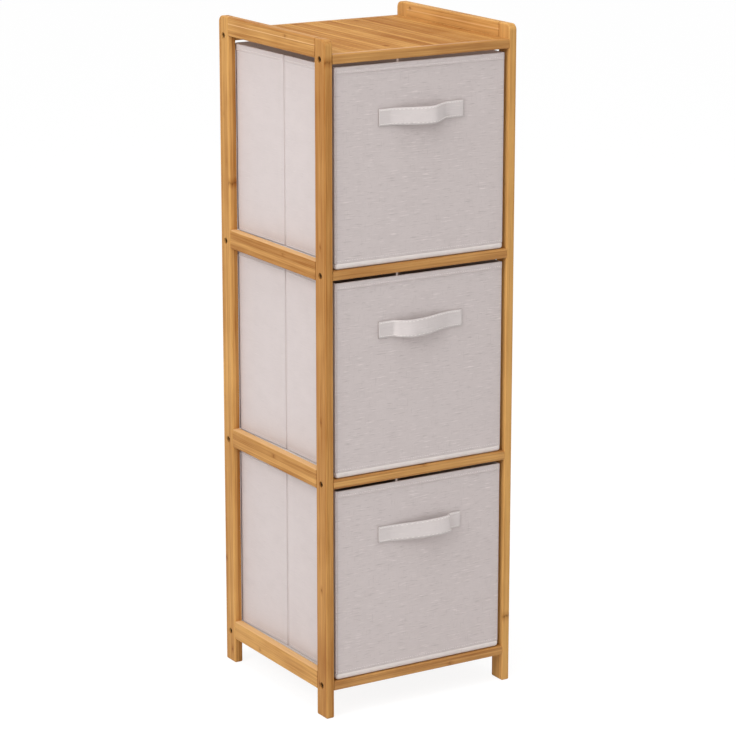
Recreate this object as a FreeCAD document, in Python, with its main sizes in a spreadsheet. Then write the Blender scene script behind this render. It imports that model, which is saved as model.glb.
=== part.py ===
import FreeCAD, Part
import math
import os
import re
import Sketcher

# A free-standing bamboo shelf tower with three foldable fabric storage boxes.
# Millimetres, +Z up, front towards -Y. The origin is on the floor, under the middle of the whole tower,
# handles included.

SIZES = {
    # Side frames: four posts, and side rails doweled between them
    "frame_width": 340,
    "frame_depth": 324,
    "post_height": 1058,
    "post_thickness": 14,
    "post_depth": 30,
    "post_top_round": 10,
    "edge_round": 2.5,
    "side_rail_thickness": 14,
    "side_rail_height": 30,
    "side_rail_drop": 10,
    "dowel_diameter": 6,
    "dowel_post_depth": 8,
    "dowel_rail_depth": 20,
    "dowel_spacing": 16,
    "dowel_clearance": 0.1,
    "dowel_chamfer": 0.8,
    # Shelf levels: a front rail, a rear rail and a strip panel each, held by screws through the posts
    "bottom_level": 51.2,
    "top_level_drop": 30.3,
    "rail_depth": 30,
    "rail_height": 15,
    "rail_rise": 8,
    "rail_lip": 8,
    "panel_thickness": 4,
    "panel_gap": 0.3,
    "groove_width": 1.2,
    "groove_depth": 0.6,
    # Connecting screws with a hex socket
    "screw_diameter": 5,
    "screw_length": 40,
    "screw_tip": 4,
    "screw_head_diameter": 8.5,
    "screw_head_height": 5,
    "screw_socket_width": 4,
    "screw_socket_depth": 3,
    "screw_clearance": 0.1,
    "counterbore_diameter": 10,
    "counterbore_depth": 7,
    # Storage boxes: fabric over board, with side walls that crease in the middle
    "box_side_gap": 5.5,
    "box_head_gap": 5.2,
    "box_rear_gap": 16.5,
    "box_setback": 2.5,
    "box_lift": 0.3,
    "wall_thickness": 4,
    "base_height": 9,
    "base_round": 3,
    "fold_gap": 0.4,
    "crease_gap": 4,
    # Strap handles, sewn flat to the box fronts at both ends
    "strap_length": 150,
    "strap_width": 26,
    "strap_thickness": 2.5,
    "strap_patch": 20,
    "strap_bow": 14,
    "strap_bend_angle": 40,
    "strap_drop": 81,
}

STRIP_COUNT = 15
SIDES = ("left", "right")
ENDS = ("front", "rear")
LEVELS = ("bottom", "lower", "upper", "top")
BOX_LEVELS = ("upper", "lower", "bottom")

X_AXIS = FreeCAD.Vector(1, 0, 0)
Y_AXIS = FreeCAD.Vector(0, 1, 0)
Z_AXIS = FreeCAD.Vector(0, 0, 1)
ALIGNED_SHARE = 0.999

# Places that several pieces share, as formulas on the sizes
FRAME_Y = "((strap_bow + strap_thickness - box_setback) / 2)"
FRAME_FRONT = f"({FRAME_Y} - frame_depth / 2)"
INNER_WIDTH = "(frame_width - 2 * post_thickness)"
LEVEL_PITCH = f"((post_height - top_level_drop - bottom_level) / {len(LEVELS) - 1})"
SIDE_RAIL_LENGTH = "(frame_depth - 2 * post_depth)"
POST_X = "((frame_width - post_thickness) / 2)"
POST_Y = "((frame_depth - post_depth) / 2)"
SCREW_HOLE = "(screw_diameter + 2 * screw_clearance)"
SCREW_SEAT = "(post_thickness - counterbore_depth)"
DOWEL_HOLE = "(dowel_diameter + 2 * dowel_clearance)"
PANEL_WIDTH = f"({INNER_WIDTH} - 2 * panel_gap)"
PANEL_DEPTH = "(frame_depth - 2 * rail_lip - 2 * panel_gap)"
STRIP_WIDTH = f"({PANEL_WIDTH} / {STRIP_COUNT})"
BOX_FRONT = f"({FRAME_FRONT} + box_setback)"
BOX_WIDTH = f"({INNER_WIDTH} - 2 * box_side_gap)"
BOX_DEPTH = "(frame_depth - box_setback - box_rear_gap)"
BOX_HEIGHT = f"({LEVEL_PITCH} - rail_height - box_lift - box_head_gap)"
LEAF_LENGTH = f"(({BOX_DEPTH} - crease_gap) / 2 - wall_thickness - fold_gap)"

doc = FreeCAD.newDocument("bathroom_shelf")
sheet = doc.addObject("Spreadsheet::Sheet", "sizes")
for row, (name, number) in enumerate(SIZES.items(), start=1):
    sheet.set(f"A{row}", name)
    sheet.set(f"B{row}", str(number))
    sheet.setAlias(f"B{row}", name)
doc.recompute()

pieces = []


def tied(formula):
    """The formula with each size's name pointing at its cell."""
    return re.sub("[a-z_]+", lambda word: f"sizes.{word[0]}" if word[0] in SIZES else word[0], formula)


def bind(thing, formulas):
    """Ties properties of an object to formulas on the sizes."""
    for prop, formula in formulas.items():
        thing.setExpression(prop, tied(formula))


def value(formula):
    """A formula's value, read from the sheet."""
    return float(sheet.evalExpression(tied(formula)))


def place(thing, x, y, z):
    bind(thing, {"Placement.Base.x": x, "Placement.Base.y": y, "Placement.Base.z": z})


def sign(name):
    """Left and front are on the negative side of the tower's middle."""
    return -1 if name in ("left", "front") else 1


def level_height(level):
    """Height of the screws that hold a shelf level."""
    return f"(bottom_level + {LEVELS.index(level)} * {LEVEL_PITCH})"


def side_rail_bottom(level):
    """The top pair of side rails ends level with the posts, and the others follow their shelf."""
    if level == "top":
        return "(post_height - side_rail_height)"
    return f"({level_height(level)} - side_rail_drop)"


def dowel_rises():
    """Heights of the two dowels above a side rail's lower edge."""
    return [f"(side_rail_height / 2 + {way} * dowel_spacing / 2)" for way in (-1, 1)]


def new_body(label):
    body = doc.addObject("PartDesign::Body", label)
    body.Label = label
    return body


def new_piece(label):
    """A body that is a finished piece of the tower."""
    body = new_body(label)
    pieces.append(body)
    return body


def sketch_on(body, role, offset="0"):
    """An empty sketch on one of the body's own planes, moved along the plane's normal."""
    sketch = body.newObject("Sketcher::SketchObject", f"{body.Label}_sketch")
    plane = next(feature for feature in body.Origin.OriginFeatures if feature.Role == role)
    sketch.AttachmentSupport = [(plane, "")]
    sketch.MapMode = "FlatFace"
    bind(sketch, {"AttachmentOffset.Base.z": offset})
    return sketch


def fix_point(sketch, geometry, point, x, y):
    """Ties a point of the sketch to two signed formulas, measured from the sketch's origin."""
    for way, formula in (("DistanceX", x), ("DistanceY", y)):
        number = sketch.addConstraint(Sketcher.Constraint(way, -1, 1, geometry, point, value(formula)))
        sketch.setExpression(f"Constraints[{number}]", tied(formula))


def draw_polygon(sketch, corners):
    """A closed outline of straight lines through corners given as pairs of formulas."""
    points = [FreeCAD.Vector(value(x), value(y), 0) for x, y in corners]
    lines = [sketch.addGeometry(Part.LineSegment(start, end))
             for start, end in zip(points, points[1:] + points[:1])]
    for line, following in zip(lines, lines[1:] + lines[:1]):
        sketch.addConstraint(Sketcher.Constraint("Coincident", line, 2, following, 1))
    for line, (x, y) in zip(lines, corners):
        fix_point(sketch, line, 1, x, y)


def draw_rectangle(sketch, left, right, low, high):
    draw_polygon(sketch, [(left, low), (right, low), (right, high), (left, high)])


def draw_circle(sketch, x, y, diameter):
    centre = FreeCAD.Vector(value(x), value(y), 0)
    circle = sketch.addGeometry(Part.Circle(centre, Z_AXIS, value(diameter) / 2))
    fix_point(sketch, circle, 3, x, y)
    number = sketch.addConstraint(Sketcher.Constraint("Diameter", circle, value(diameter)))
    sketch.setExpression(f"Constraints[{number}]", tied(diameter))


def pad(body, sketch, length, centred=False):
    feature = body.newObject("PartDesign::Pad", f"{body.Label}_pad")
    feature.Profile = sketch
    feature.SideType = "Symmetric" if centred else "One side"
    bind(feature, {"Length": length})
    doc.recompute()
    return feature


def pocket(body, sketch, outward):
    """Cuts the sketch away on one side of its plane, along its normal or against it."""
    volume_before = body.Shape.Volume
    feature = body.newObject("PartDesign::Pocket", f"{body.Label}_pocket")
    feature.Profile = sketch
    feature.Type = "ThroughAll"
    feature.Reversed = outward > 0
    doc.recompute()
    if not body.Shape.Volume < volume_before:
        raise ValueError(f"{body.Label}: a cut removed nothing")
    return feature


def bore(body, role, start, outward, diameter, centres):
    """Round holes from a plane inside the piece out through the face that they open on."""
    sketch = sketch_on(body, role, start)
    for x, y in centres:
        draw_circle(sketch, x, y, diameter)
    return pocket(body, sketch, outward)


def runs_along(edge, axis):
    step = edge.Vertexes[-1].Point - edge.Vertexes[0].Point
    return abs(step.dot(axis)) > ALIGNED_SHARE * edge.Length


def round_edges(body, radius, chosen):
    """Rounds those edges of the body so far that the test picks."""
    base = body.Tip
    names = [f"Edge{number}" for number, edge in enumerate(base.Shape.Edges, start=1) if chosen(edge)]
    feature = body.newObject("PartDesign::Fillet", f"{body.Label}_round")
    feature.Base = (base, names)
    bind(feature, {"Radius": radius})
    doc.recompute()


def make_post(side_name, end_name):
    """An upright with its top corner rounded off on the outer edge, screw holes and dowel holes."""
    side = sign(side_name)
    end = sign(end_name)
    body = new_piece(f"post_{side_name}_{end_name}")
    outline = sketch_on(body, "XY_Plane")
    draw_rectangle(outline, "-post_thickness / 2", "post_thickness / 2", "-post_depth / 2", "post_depth / 2")
    pad(body, outline, "post_height")
    middle = value("post_height / 2")
    round_edges(body, "post_top_round", lambda edge: runs_along(edge, X_AXIS)
                and edge.CenterOfMass.z > middle and edge.CenterOfMass.y * end > 0)
    round_edges(body, "edge_round", lambda edge: True)
    screws = [("0", level_height(level)) for level in LEVELS]
    bore(body, "YZ_Plane", f"{-side} * post_thickness / 2", side, SCREW_HOLE, screws)
    seat = f"{side} * ({SCREW_SEAT} - post_thickness / 2)"
    bore(body, "YZ_Plane", seat, side, "counterbore_diameter", screws)
    dowels = [("0", f"{side_rail_bottom(level)} + {rise}") for level in LEVELS for rise in dowel_rises()]
    dowel_start = f"{end} * (post_depth / 2 - dowel_post_depth - dowel_clearance)"
    bore(body, "XZ_Plane", dowel_start, end, DOWEL_HOLE, dowels)
    place(body, f"{side} * {POST_X}", f"{FRAME_Y} + {end} * {POST_Y}", "0")


def make_side_rail(side_name, level):
    """A rail along the depth between two posts, with two dowel holes in each end."""
    body = new_piece(f"side_rail_{side_name}_{level}")
    outline = sketch_on(body, "XZ_Plane")
    draw_rectangle(outline, "-side_rail_thickness / 2", "side_rail_thickness / 2", "0", "side_rail_height")
    pad(body, outline, SIDE_RAIL_LENGTH, centred=True)
    round_edges(body, "edge_round", lambda edge: runs_along(edge, Y_AXIS))
    dowels = [("0", rise) for rise in dowel_rises()]
    for way in (-1, 1):
        start = f"{way} * ({SIDE_RAIL_LENGTH} / 2 - dowel_rail_depth - dowel_clearance)"
        bore(body, "XZ_Plane", start, way, DOWEL_HOLE, dowels)
    place(body, f"{sign(side_name)} * {POST_X}", FRAME_Y, side_rail_bottom(level))


def make_cross_rail(end_name, level):
    """A rail across the width, rebated for the shelf panel, with a screw hole in each end."""
    end = sign(end_name)
    body = new_piece(f"{end_name}_rail_{level}")
    outer = f"({end} * post_depth / 2)"
    inner = f"({outer} - {end} * rail_depth)"
    lip = f"({outer} - {end} * rail_lip)"
    low = "(rail_rise - rail_height)"
    step = "(rail_rise - panel_thickness)"
    outline = sketch_on(body, "YZ_Plane")
    draw_polygon(outline, [(outer, low), (inner, low), (inner, step), (lip, step), (lip, "rail_rise"),
                           (outer, "rail_rise")])
    pad(body, outline, INNER_WIDTH, centred=True)
    reach = value("post_depth / 2") * ALIGNED_SHARE
    round_edges(body, "edge_round", lambda edge: runs_along(edge, X_AXIS)
                and edge.CenterOfMass.y * end > reach)
    depth = f"(screw_length - {SCREW_SEAT} + screw_clearance)"
    for way in (-1, 1):
        bore(body, "YZ_Plane", f"{way} * ({INNER_WIDTH} / 2 - {depth})", way, SCREW_HOLE, [("0", "0")])
    place(body, "0", f"{FRAME_Y} + {end} * {POST_Y}", level_height(level))


def make_shelf_panel(level):
    """A thin panel of strips glued side by side, with a fine groove at each glue line."""
    body = new_piece(f"shelf_panel_{level}")
    outline = sketch_on(body, "XY_Plane")
    draw_rectangle(outline, f"-{PANEL_WIDTH} / 2", f"{PANEL_WIDTH} / 2",
                   f"-{PANEL_DEPTH} / 2", f"{PANEL_DEPTH} / 2")
    pad(body, outline, "panel_thickness")
    first = f"({STRIP_WIDTH} - {PANEL_WIDTH} / 2)"
    groove = sketch_on(body, "XZ_Plane", f"-{PANEL_DEPTH} / 2")
    draw_polygon(groove, [(f"{first} - groove_width / 2", "panel_thickness"),
                          (first, "panel_thickness - groove_depth"),
                          (f"{first} + groove_width / 2", "panel_thickness")])
    cut = pocket(body, groove, 1)
    pattern = body.newObject("PartDesign::LinearPattern", f"{body.Label}_grooves")
    pattern.Originals = [cut]
    pattern.Direction = (groove, ["H_Axis"])
    pattern.Occurrences = STRIP_COUNT - 1
    bind(pattern, {"Length": f"{STRIP_WIDTH} * {STRIP_COUNT - 2}"})
    body.Tip = pattern
    place(body, "0", FRAME_Y, f"{level_height(level)} + rail_rise - panel_thickness")


def make_group(label, master, spots):
    """Copies of one fastener as a single piece. A spot is a place and whether it is turned end for end."""
    links = []
    for number, (x, y, z, turned) in enumerate(spots, start=1):
        link = doc.addObject("App::Link", f"{label}_{number}")
        link.LinkedObject = master
        if turned:
            link.Placement.Rotation = FreeCAD.Rotation(Z_AXIS, 180)
        place(link, x, y, z)
        links.append(link)
    group = doc.addObject("Part::Compound", label)
    group.Label = label
    group.Links = links
    pieces.append(group)


def make_screws():
    """Hex-socket screws along X, each head on the floor of its counterbore."""
    body = new_body("screw")
    head = "(screw_head_diameter / 2)"
    shank = "(screw_diameter / 2)"
    outline = sketch_on(body, "XZ_Plane")
    draw_polygon(outline, [("-screw_head_height", "0"), ("screw_length", "0"),
                           ("screw_length - screw_tip", shank), ("0", shank), ("0", head),
                           ("-screw_head_height", head)])
    turned = body.newObject("PartDesign::Revolution", "screw_turned")
    turned.Profile = outline
    turned.ReferenceAxis = (outline, ["H_Axis"])
    doc.recompute()
    corner = "(screw_socket_width / sqrt(3))"
    flat = "(screw_socket_width / 2)"
    hexagon = [(corner, "0"), (f"{corner} / 2", flat), (f"-{corner} / 2", flat), (f"-{corner}", "0"),
               (f"-{corner} / 2", f"-{flat}"), (f"{corner} / 2", f"-{flat}")]
    socket = sketch_on(body, "YZ_Plane", "screw_socket_depth - screw_head_height")
    draw_polygon(socket, hexagon)
    pocket(body, socket, -1)
    seat = "(frame_width / 2 - counterbore_depth)"
    spots = [(f"{side} * {seat}", f"{FRAME_Y} + {end} * {POST_Y}", level_height(level), side > 0)
             for side in map(sign, SIDES) for end in map(sign, ENDS) for level in LEVELS]
    make_group("frame_screws", body, spots)


def make_dowels():
    """Chamfered dowels along Y, two in each end of each side rail."""
    body = new_body("dowel")
    outline = sketch_on(body, "XZ_Plane")
    draw_circle(outline, "0", "0", "dowel_diameter")
    peg = pad(body, outline, "dowel_post_depth + dowel_rail_depth", centred=True)
    chamfer = body.newObject("PartDesign::Chamfer", "dowel_ends")
    ends = [f"Edge{number}" for number, edge in enumerate(peg.Shape.Edges, start=1) if edge.isClosed()]
    chamfer.Base = (peg, ends)
    bind(chamfer, {"Size": "dowel_chamfer"})
    joint = f"({SIDE_RAIL_LENGTH} / 2 + dowel_post_depth / 2 - dowel_rail_depth / 2)"
    heights = [f"{side_rail_bottom(level)} + {rise}" for level in LEVELS for rise in dowel_rises()]
    spots = [(f"{side} * {POST_X}", f"{FRAME_Y} + {end} * {joint}", height, False)
             for side in map(sign, SIDES) for end in map(sign, ENDS) for height in heights]
    make_group("side_frame_dowels", body, spots)


def make_wall(label, size, corner):
    """A straight wall of a storage box: its three sizes, and its left, front and lower corner."""
    wall = doc.addObject("Part::Box", label)
    wall.Label = label
    bind(wall, dict(zip(("Length", "Width", "Height"), size)))
    place(wall, *corner)
    pieces.append(wall)


def make_base(label, bottom):
    """The sewn floor of a storage box, a board in fabric with soft rounded edges."""
    body = new_piece(label)
    outline = sketch_on(body, "XY_Plane")
    draw_rectangle(outline, f"-{BOX_WIDTH} / 2", f"{BOX_WIDTH} / 2", "0", BOX_DEPTH)
    pad(body, outline, "base_height")
    round_edges(body, "base_round", lambda edge: edge.CenterOfMass.z < value("base_height"))
    place(body, "0", BOX_FRONT, bottom)


def make_strap(label, rim):
    """A strap that lies flat at its sewn ends and bows out between them, in tangent arcs."""
    bow = value("strap_bow")
    bend = math.radians(value("strap_bend_angle"))
    radius = bow / (2 * (1 - math.cos(bend)))
    tail = value("strap_length / 2")
    lift_off = value("strap_length / 2 - strap_patch")
    half_run = radius * math.sin(bend)
    arc_in = radius * math.sin(bend / 2)
    arc_out = radius * (1 - math.cos(bend / 2))

    def spot(x, out):
        return FreeCAD.Vector(x, -out, 0)

    def bow_side(way):
        """Tail, and the two arcs from the box front out to the bow, on one side of the strap."""
        foot = spot(way * lift_off, 0)
        turn = spot(way * (lift_off - half_run), bow / 2)
        crown = spot(way * (lift_off - 2 * half_run), bow)
        return [Part.LineSegment(spot(way * tail, 0), foot),
                Part.Arc(foot, spot(way * (lift_off - arc_in), arc_out), turn),
                Part.Arc(turn, spot(way * (lift_off - 2 * half_run + arc_in), bow - arc_out), crown)], crown

    left, left_crown = bow_side(-1)
    right, right_crown = bow_side(1)
    curves = left + [Part.LineSegment(left_crown, right_crown)] + right[::-1]
    path = Part.Wire([curve.toShape() for curve in curves])
    band = path.makeOffset2D(value("strap_thickness"), fill=True, openResult=True)
    strap = doc.addObject("Part::Feature", label)
    strap.Label = label
    strap.Shape = band.extrude(Z_AXIS * value("strap_width"))
    place(strap, "0", BOX_FRONT, f"{rim} - strap_drop - strap_width / 2")
    pieces.append(strap)


def make_box(level):
    """A folding fabric box: floor, back and front panel, four side leaves and a strap."""
    name = f"box_{level}"
    bottom = f"({level_height(level)} + rail_rise + box_lift)"
    foot = f"({bottom} + base_height)"
    swing_foot = f"({foot} + fold_gap)"
    wall_height = f"({BOX_HEIGHT} - base_height)"
    swing_height = f"({BOX_HEIGHT} - base_height - fold_gap)"
    left = f"(-{BOX_WIDTH} / 2)"
    right = f"({BOX_WIDTH} / 2 - wall_thickness)"
    front_leaf_y = f"({BOX_FRONT} + wall_thickness + fold_gap)"
    rear_leaf_y = f"({BOX_FRONT} + ({BOX_DEPTH} + crease_gap) / 2)"
    back_y = f"({BOX_FRONT} + {BOX_DEPTH} - wall_thickness)"
    make_base(f"{name}_base", bottom)
    make_wall(f"{name}_back_panel", (BOX_WIDTH, "wall_thickness", wall_height), (left, back_y, foot))
    make_wall(f"{name}_front_panel", (BOX_WIDTH, "wall_thickness", swing_height),
              (left, BOX_FRONT, swing_foot))
    leaf = ("wall_thickness", LEAF_LENGTH, swing_height)
    for side_name, x in (("left", left), ("right", right)):
        make_wall(f"{name}_{side_name}_front_leaf", leaf, (x, front_leaf_y, swing_foot))
        make_wall(f"{name}_{side_name}_rear_leaf", leaf, (x, rear_leaf_y, swing_foot))
    make_strap(f"{name}_strap", f"({bottom} + {BOX_HEIGHT})")


for side_name in SIDES:
    for end_name in ENDS:
        make_post(side_name, end_name)
    for level in LEVELS:
        make_side_rail(side_name, level)
for level in LEVELS:
    for end_name in ENDS:
        make_cross_rail(end_name, level)
    make_shelf_panel(level)
make_screws()
make_dowels()
for level in BOX_LEVELS:
    make_box(level)
doc.recompute()

for thing in doc.Objects:
    if "Invalid" in thing.State or "Error" in thing.State:
        raise RuntimeError(f"{thing.Label} failed: {thing.State}")
for piece in pieces:
    if piece.Shape.isNull() or not piece.Shape.isValid():
        raise RuntimeError(f"{piece.Label} has no valid shape")

os.makedirs("parts", exist_ok=True)
for piece in pieces:
    piece.Shape.exportStep(f"parts/{piece.Label}.step")
    print(piece.Label, len(piece.Shape.Solids), round(piece.Shape.Volume))
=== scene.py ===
# %% [markdown]
# A bathroom shelf tower in bamboo and linen
#
# The real object is a slim bamboo shelf with three foldable fabric boxes. The bamboo is stiff and already
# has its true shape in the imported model, so this lesson only gives it a finish. The boxes are cloth over
# board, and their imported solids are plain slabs, so every wall, floor and handle of them is sewn again
# here.

# %% Load the frame
import math

import bmesh
import bpy
from mathutils import Matrix, Vector, noise


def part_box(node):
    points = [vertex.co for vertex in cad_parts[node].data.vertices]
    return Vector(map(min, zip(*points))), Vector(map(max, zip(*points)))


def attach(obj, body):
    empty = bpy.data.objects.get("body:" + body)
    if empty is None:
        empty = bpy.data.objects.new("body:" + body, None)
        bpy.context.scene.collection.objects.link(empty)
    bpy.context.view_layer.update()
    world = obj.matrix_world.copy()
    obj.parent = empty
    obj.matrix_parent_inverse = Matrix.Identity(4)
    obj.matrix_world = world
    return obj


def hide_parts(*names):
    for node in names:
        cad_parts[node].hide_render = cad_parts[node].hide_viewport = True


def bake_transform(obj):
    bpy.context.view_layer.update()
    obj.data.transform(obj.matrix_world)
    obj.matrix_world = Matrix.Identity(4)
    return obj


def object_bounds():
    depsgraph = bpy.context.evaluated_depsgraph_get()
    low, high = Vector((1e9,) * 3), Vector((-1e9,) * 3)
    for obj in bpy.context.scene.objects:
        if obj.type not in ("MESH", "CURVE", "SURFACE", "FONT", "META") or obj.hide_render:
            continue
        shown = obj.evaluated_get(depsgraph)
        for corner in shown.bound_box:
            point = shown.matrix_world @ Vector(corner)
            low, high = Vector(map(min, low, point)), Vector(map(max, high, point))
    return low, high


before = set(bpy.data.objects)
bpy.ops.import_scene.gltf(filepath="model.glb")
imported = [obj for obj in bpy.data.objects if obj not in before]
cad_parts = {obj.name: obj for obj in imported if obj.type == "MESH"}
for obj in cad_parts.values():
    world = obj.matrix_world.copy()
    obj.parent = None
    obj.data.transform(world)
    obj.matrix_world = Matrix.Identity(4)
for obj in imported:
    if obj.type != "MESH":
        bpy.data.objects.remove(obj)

MM = 0.001
X, Y, Z = 0, 1, 2

cad_low, cad_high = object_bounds()
print("packed box in mm:", [round(side / MM, 1) for side in cad_high - cad_low])

# %% [markdown]
# A finish in Blender is a small graph of nodes. Placing every node by hand hides the idea behind the
# wiring, so this class wraps one socket and lets a finish be written as sums: adding two wires adds a
# Math node. The reflected forms are there so that "1 - mask" works with the plain number first.

# %% Write shader maths as sums
MIX_FACTOR, MIX_A, MIX_B, MIX_COLOUR_OUT = 0, 6, 7, 2


class Wire:
    """One socket of a finish. Sums and products of wires add Math nodes."""

    def __init__(self, tree, socket=None):
        self.tree = tree
        self.socket = socket

    def node(self, kind, settings=None, inputs=None, output=0):
        """Adds a node of any kind: settings first, then the values or wires of its sockets."""
        made = self.tree.nodes.new(kind)
        for name, setting in (settings or {}).items():
            setattr(made, name, setting)
        for name, value in (inputs or {}).items():
            if isinstance(value, Wire):
                self.tree.links.new(value.socket, made.inputs[name])
            else:
                made.inputs[name].default_value = value
        return Wire(self.tree, made.outputs[output])

    def maths(self, operation, *values):
        return self.node("ShaderNodeMath", {"operation": operation}, dict(enumerate(values)))

    def __add__(self, other):
        return self.maths("ADD", self, other)

    def __sub__(self, other):
        return self.maths("SUBTRACT", self, other)

    def __rsub__(self, other):
        return self.maths("SUBTRACT", other, self)

    def __mul__(self, other):
        return self.maths("MULTIPLY", self, other)

    def __truediv__(self, other):
        return self.maths("DIVIDE", self, other)

    __radd__ = __add__
    __rmul__ = __mul__

    def floor(self):
        return self.maths("FLOOR", self)

    def fraction(self):
        return self.maths("FRACT", self)

    def size(self):
        return self.maths("ABSOLUTE", self)

    def sine(self):
        return self.maths("SINE", self)

    def smooth(self, start, end):
        """0 before start and 1 after end, with a soft step between them."""
        limits = {"Value": self, "From Min": start, "From Max": end}
        return self.node("ShaderNodeMapRange", {"interpolation_type": "SMOOTHSTEP"}, limits)

    def point(self, x, y, z):
        return self.node("ShaderNodeCombineXYZ", None, {"X": x, "Y": y, "Z": z})

    def chance(self, x, y, z):
        """A random value from 0 to 1 that stays the same for the same three numbers."""
        settings = {"noise_dimensions": "3D"}
        return self.node("ShaderNodeTexWhiteNoise", settings, {"Vector": self.point(x, y, z)}, "Value")

    def cloud(self, x, y, z, detail=2.0):
        """Soft noise about 0.5, over coordinates that have been scaled already."""
        inputs = {"Vector": self.point(x, y, z), "Scale": 1.0, "Detail": detail}
        return self.node("ShaderNodeTexNoise", {"noise_dimensions": "3D"}, inputs, "Fac")

    def mix(self, factor, first, second):
        settings = {"data_type": "RGBA", "blend_type": "MIX", "clamp_factor": True}
        inputs = {MIX_FACTOR: factor, MIX_A: first, MIX_B: second}
        return self.node("ShaderNodeMix", settings, inputs, MIX_COLOUR_OUT)


print("shader maths ready")

# %% [markdown]
# Every finish starts in the same way: a new material, its shader, and the piece's own coordinates to draw
# with. Colours are written as a paint chart gives them, so one helper turns them into the linear values
# of a shader.

# %% Helpers for finishes
CHART_STEPS = 255
CHART_KNEE = 0.04045
CHART_SLOPE = 12.92
CHART_OFFSET = 0.055
CHART_POWER = 2.4


def linear(red, green, blue):
    """A colour as a paint chart gives it, 0 to 255, in the linear values that shaders use."""
    def channel(value):
        share = value / CHART_STEPS
        if share <= CHART_KNEE:
            return share / CHART_SLOPE
        return ((share + CHART_OFFSET) / (1 + CHART_OFFSET)) ** CHART_POWER
    return (channel(red), channel(green), channel(blue), 1.0)


def start_finish(name):
    """An empty finish: its shader, a wire to build with, and the piece's own three coordinates."""
    finish = bpy.data.materials.new(name)
    finish.use_nodes = True
    tree = finish.node_tree
    wire = Wire(tree)
    place = wire.node("ShaderNodeTexCoord", None, None, "Object")
    axes = [wire.node("ShaderNodeSeparateXYZ", None, {"Vector": place}, axis) for axis in "XYZ"]
    return finish, tree.nodes["Principled BSDF"], wire, axes


def feed(shader, socket, wire):
    wire.tree.links.new(wire.socket, shader.inputs[socket])


def even_cloud(wire, axes, per_metre, detail):
    """Noise of one grain in all directions."""
    return wire.cloud(*(axis * per_metre for axis in axes), detail)


print("mid grey of the chart as a shader sees it:", round(linear(128, 128, 128)[0], 3))

# %% [markdown]
# Bamboo lumber is glued from narrow strips. Each strip has its own tone, fine fibres along its length,
# and now and then a knuckle: the dark line where the cane had a joint. One image could show this, but a
# rule that works in the object's own space fits every piece, whichever way its fibres run. The rule below
# asks which strip a point is in, rolls a dice for that strip, and draws fibres and knuckles along the
# chosen direction. Some pieces also get painted light and shade: one post is darker on its inner half as
# painted shade, another is paler on its front face as painted light, and each side rail has a painted
# highlight along its upper edge.

# %% Make the bamboo finish
PALE_BAMBOO = linear(216, 164, 96)
DEEP_BAMBOO = linear(158, 100, 44)
KNUCKLE_BROWN = linear(108, 62, 26)
GLUE_BROWN = linear(120, 72, 32)
PAINTED_HIGHLIGHT_BAMBOO = linear(228, 184, 130)
PIECE_PITCH = 100 * MM
FIBRES_PER_METRE, FIBRE_BREAKS, FIBRE_SHIFT, FIBRE_DETAIL = 900.0, 16.0, 40.0, 3.0
STREAKS_PER_METRE, STREAK_BREAKS, STREAK_SHIFT = 230.0, 4.0, 70.0
DRIFTS_PER_METRE, DRIFT_SHIFT = 9.0, 3.0
FIBRE_TONE, STREAK_TONE, DRIFT_TONE, HALO_TONE = 1.0, 1.2, 0.8, 0.45
KNUCKLE_PITCH = 270 * MM
KNUCKLE_SHIFT = 7.0
KNUCKLE_RARITY = 0.7
KNUCKLE_WIDTHS = (0.4 * MM, 2.8 * MM)
KNUCKLE_SPREAD = 12 * MM
KNUCKLE_FROM_GLUE, HALO_FROM_GLUE = 2.8 * MM, 2 * MM
KNUCKLE_WEAR = (0.34, 0.56)
KNUCKLE_STRENGTH = 0.85
STREAK_RAGGED, FIBRE_RAGGED = 8 * MM, 6 * MM
GLUE_WIDTH = 0.5 * MM
INNER_PAINTED_SHADE = (-163.8 * MM, -162.6 * MM)
FRONT_PAINTED_LIGHT = (-154.5 * MM, -153 * MM)
RAIL_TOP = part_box("side_rail_left_upper")[1].z
LEVEL_PITCH = RAIL_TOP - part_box("side_rail_left_lower")[1].z
PAINTED_HIGHLIGHT_TURNS = 4.001
PAINTED_HIGHLIGHT_DEPTHS = (0.8 * MM, 1.8 * MM)
PAINTED_HIGHLIGHT_STRENGTH = 1.3
FIBRE_RELIEF, GLUE_RELIEF, KNUCKLE_RELIEF = 0.6, 0.8, 0.7
BAMBOO_BUMP, BAMBOO_BUMP_HEIGHT = 0.22, 0.4 * MM
ROUGHNESS_SPREAD = 0.14


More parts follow.
